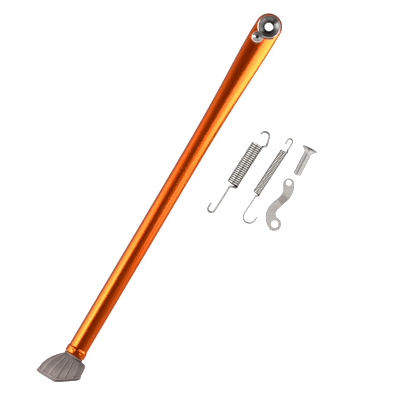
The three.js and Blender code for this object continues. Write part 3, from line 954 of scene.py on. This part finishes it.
def wire_material():
    s = Surface("spring_wire", Metallic=1.0)
    smear = s.noise(220, detail=4)
    lines = s.noise(900, (1, 5, 5), detail=4, roughness=0.7)
    groove = s.add("ShaderNodeAttribute", attribute_name="groove").outputs["Fac"]
    bare = s.ramp(smear, [(0.3, (0.60, 0.575, 0.55)), (0.7, (0.70, 0.68, 0.655))])
    # Painted shade: the marked wire is darkened down to 0.08 of its colour.
    coil_shade = s.ramp(groove, [(0.22, 1.0), (0.65, 0.08)])
    s.set("Base Color", s.mix(1.0, bare, coil_shade, "MULTIPLY"))
    s.set("Roughness", s.range(lines, 0.3, 0.7, 0.2, 0.32))
    s.set("Normal", s.bump(lines, 0.1, 0.00003))
    return s.material


def plate_material():
    s = Surface("satin_plate", Metallic=0.6)
    brush = s.noise(420, (1, 9, 1), detail=5, roughness=0.7)
    cloud = s.noise(70, detail=3)
    s.set("Base Color", s.ramp(cloud, [(0.3, (0.61, 0.58, 0.555)), (0.7, (0.71, 0.68, 0.655))]))
    s.set("Roughness", s.range(brush, 0.3, 0.7, 0.38, 0.5))
    s.set("Normal", s.bump(brush, 0.15, 0.00005))
    return s.material


# ---- The bench, the light and the camera ----

VIEW_MIDDLE = PIVOT + Vector((-184.06, -28.86, 1.0)) * MM
VIEW_WIDTH = 400 * MM
VIEW_DISTANCE = 6.0
VIEW_RIGHT = (0.5093, -0.8606)  # the picture's right: the leg runs down to the left in it
VIEW_TURN = math.atan2(VIEW_RIGHT[1], VIEW_RIGHT[0])
SENSOR = 36.0
BENCH_HALF = 15.0
BENCH_DROP = 0.2 * MM  # so that it doesn't touch the pieces' undersides
BENCH_GLOW = 0.8


def make_camera():
    data = bpy.data.cameras.new("camera")
    data.sensor_width = SENSOR
    data.lens = SENSOR * VIEW_DISTANCE / VIEW_WIDTH
    data.clip_start, data.clip_end = 0.1, 50
    camera = bpy.data.objects.new("camera", data)
    camera.location = VIEW_MIDDLE + Vector((0, 0, VIEW_DISTANCE))
    camera.rotation_euler = (0, 0, VIEW_TURN)
    bpy.context.scene.collection.objects.link(camera)
    bpy.context.scene.camera = camera


def make_bench():
    half = BENCH_HALF
    corners = [(-half, -half, 0), (half, -half, 0), (half, half, 0), (-half, half, 0)]
    bench = new_object("bench", corners, [(0, 1, 2, 3)])
    bench.location.z = BENCH_Z - BENCH_DROP
    s = Surface("bench_white", Base_Color=(0.8, 0.8, 0.8, 1), Roughness=0.9)
    s.shader.inputs["Emission Color"].default_value = (1, 1, 1, 1)
    s.shader.inputs["Emission Strength"].default_value = BENCH_GLOW
    bench.data.materials.append(s.material)
    bench.visible_glossy = False
    bench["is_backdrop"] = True


# Soft boxes, by the pieces that they light: degrees from straight up towards +y, and how
# many degrees the box spans; where it starts and ends along the leg from the pivot, in
# metres; its radiance.
SOFT_BOXES = {
    "leg": {
        "left_core": (44, 27, 0.255, 0.52, 2.7),
        "left_wide": (70, 50, 0.20, 0.52, 1.1),
        "left_fill": (78, 40, 0.12, 0.52, 0.5),
        "right_near": (-62, 100, -0.12, 0.08, 3.0),
        "right_middle": (-66, 40, 0.08, 0.122, 3.0),
        "right_strip": (-49, 9, 0.115, 0.245, 3.0),
        "right_fill": (-85, 30, 0.08, 0.26, 1.0),
    },
    "foot": {
        "foot_above": (0, 100, 0.20, 0.64, 1.12),
        "foot_left": (50, 40, 0.30, 0.54, 1.6),
    },
    "head": {
        "head_left": (58, 20, -0.05, 0.56, 2.6),
        "head_right": (-60, 26, -0.90, 0.28, 1.1),
        "head_low": (74, 20, 0.12, 0.70, 0.85),
    },
    "post": {
        "post_left": (58, 26, 0.10, 0.30, 2.6),
        "post_right": (-60, 40, -0.10, 0.20, 0.35),
    },
    "springs": {
        "springs_left": (42, 70, -0.35, 0.6, 1.15),
        "springs_right": (-42, 70, -0.35, 0.6, 0.85),
    },
    "link": {
        "link_above": (-8, 66, 0.05, 0.22, 1.1),
        "link_left": (60, 50, -0.3, 0.6, 0.3),
        "link_right": (-62, 40, -0.3, 0.6, 0.35),
    },
    "bolt": {
        "bolt_left": (50, 80, -0.3, 0.6, 0.22),
        "bolt_right": (-50, 80, -0.3, 0.6, 0.22),
        "bolt_line": (-38, 6, -0.3, 0.6, 1.2),
    },
}
LIT_BY = {
    "anodised_leg": "leg",
    "cast_foot": "foot",
    "turned_bush": "head",
    "turned_post": "post",
    "outer_spring": "springs",
    "inner_spring": "springs",
    "link_plate": "link",
    "turned_bolt": "bolt",
}
BOX_DISTANCE = 0.5
BLACK = 0.012  # what is darker than this is black in the picture
# The surroundings' brightness, from straight down through the horizon to straight up.
SURROUNDINGS = [
    (0.0, 0.35), (0.15, 0.42), (0.35, 0.52), (0.5, 0.6),
    (0.65, 0.42), (0.85, 0.24), (1.0, 0.19),
]
BRIGHTER_SIDE = (-0.5, 0, 0)  # the surroundings' strength grows by this towards each axis


def soft_box(name, receivers, tilt, span, start, end, radiance):
    """An area light that faces the leg's centre line and lights only the receivers."""
    tilt = math.radians(tilt)
    data = bpy.data.lights.new(name, "AREA")
    data.shape = "RECTANGLE"
    data.size, data.size_y = end - start, 2 * BOX_DISTANCE * math.tan(math.radians(span / 2))
    data.energy = radiance * math.pi * data.size * data.size_y
    light = bpy.data.objects.new(name, data)
    middle = Vector((PIVOT.x - (start + end) / 2, PIVOT.y, PIVOT.z))
    light.location = middle + Vector((0, math.sin(tilt), math.cos(tilt))) * BOX_DISTANCE
    light.rotation_euler = (-tilt, 0, 0)
    light.visible_camera = False
    light.light_linking.receiver_collection = receivers
    bpy.context.scene.collection.objects.link(light)


def make_world():
    """White to the camera, and grey by height and side to everything else."""
    world = bpy.data.worlds.new("studio")
    bpy.context.scene.world = world
    world.use_nodes = True
    tree = world.node_tree
    link = tree.links.new
    seen = tree.nodes["Background"]
    seen.inputs["Color"].default_value = (1, 1, 1, 1)
    place = tree.nodes.new("ShaderNodeTexCoord")
    height = tree.nodes.new("ShaderNodeSeparateXYZ")
    share = tree.nodes.new("ShaderNodeMapRange")
    share.inputs["From Min"].default_value = -1
    ramp = tree.nodes.new("ShaderNodeValToRGB")
    elements = ramp.color_ramp.elements
    while len(elements) < len(SURROUNDINGS):
        elements.new(0.5)
    for element, (position, grey) in zip(elements, SURROUNDINGS):
        element.position = position
        element.color = (grey, grey, grey, 1)
    side = tree.nodes.new("ShaderNodeVectorMath")
    side.operation = "DOT_PRODUCT"
    side.inputs[1].default_value = BRIGHTER_SIDE
    strength = tree.nodes.new("ShaderNodeMath")
    strength.operation = "ADD"
    strength.inputs[1].default_value = 1.0
    around = tree.nodes.new("ShaderNodeBackground")
    path = tree.nodes.new("ShaderNodeLightPath")
    mix = tree.nodes.new("ShaderNodeMixShader")
    link(place.outputs["Generated"], height.inputs["Vector"])
    link(height.outputs["Z"], share.inputs["Value"])
    link(share.outputs["Result"], ramp.inputs["Fac"])
    link(ramp.outputs["Color"], around.inputs["Color"])
    link(place.outputs["Generated"], side.inputs[0])
    link(side.outputs["Value"], strength.inputs[0])
    link(strength.outputs["Value"], around.inputs["Strength"])
    link(path.outputs["Is Camera Ray"], mix.inputs["Fac"])
    link(around.outputs["Background"], mix.inputs[1])
    link(seen.outputs["Background"], mix.inputs[2])
    link(mix.outputs["Shader"], tree.nodes["World Output"].inputs["Surface"])


def make_light(pieces):
    make_world()
    for group, boxes in SOFT_BOXES.items():
        receivers = bpy.data.collections.new(f"lit_{group}")
        for piece in pieces:
            if LIT_BY[piece.name] == group:
                receivers.objects.link(piece)
        for name, values in boxes.items():
            soft_box(name, receivers, *values)
    settings = bpy.context.scene.view_settings
    settings.view_transform, settings.look = "Standard", "High Contrast"
    settings.use_curve_mapping = True
    settings.curve_mapping.black_level = (BLACK, BLACK, BLACK)
    settings.curve_mapping.update()


# ---- Everything ----

make_camera()
steel, wire = turned_material(), wire_material()
pieces = [
    make_leg(anodised_material()),
    make_foot(cast_material()),
    make_bush(steel),
    make_post(steel),
    make_spring(OUTER, wire),
    make_spring(INNER, wire),
    make_link(plate_material()),
    make_bolt(steel),
]
make_bench()
make_light(pieces)
pieces[0].visible_glossy = False  # its colour doesn't show in the other pieces

visual_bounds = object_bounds()
sizes = {"cad": cad_bounds, "visual": visual_bounds}
{key: [list(corner) for corner in box] for key, box in sizes.items()}
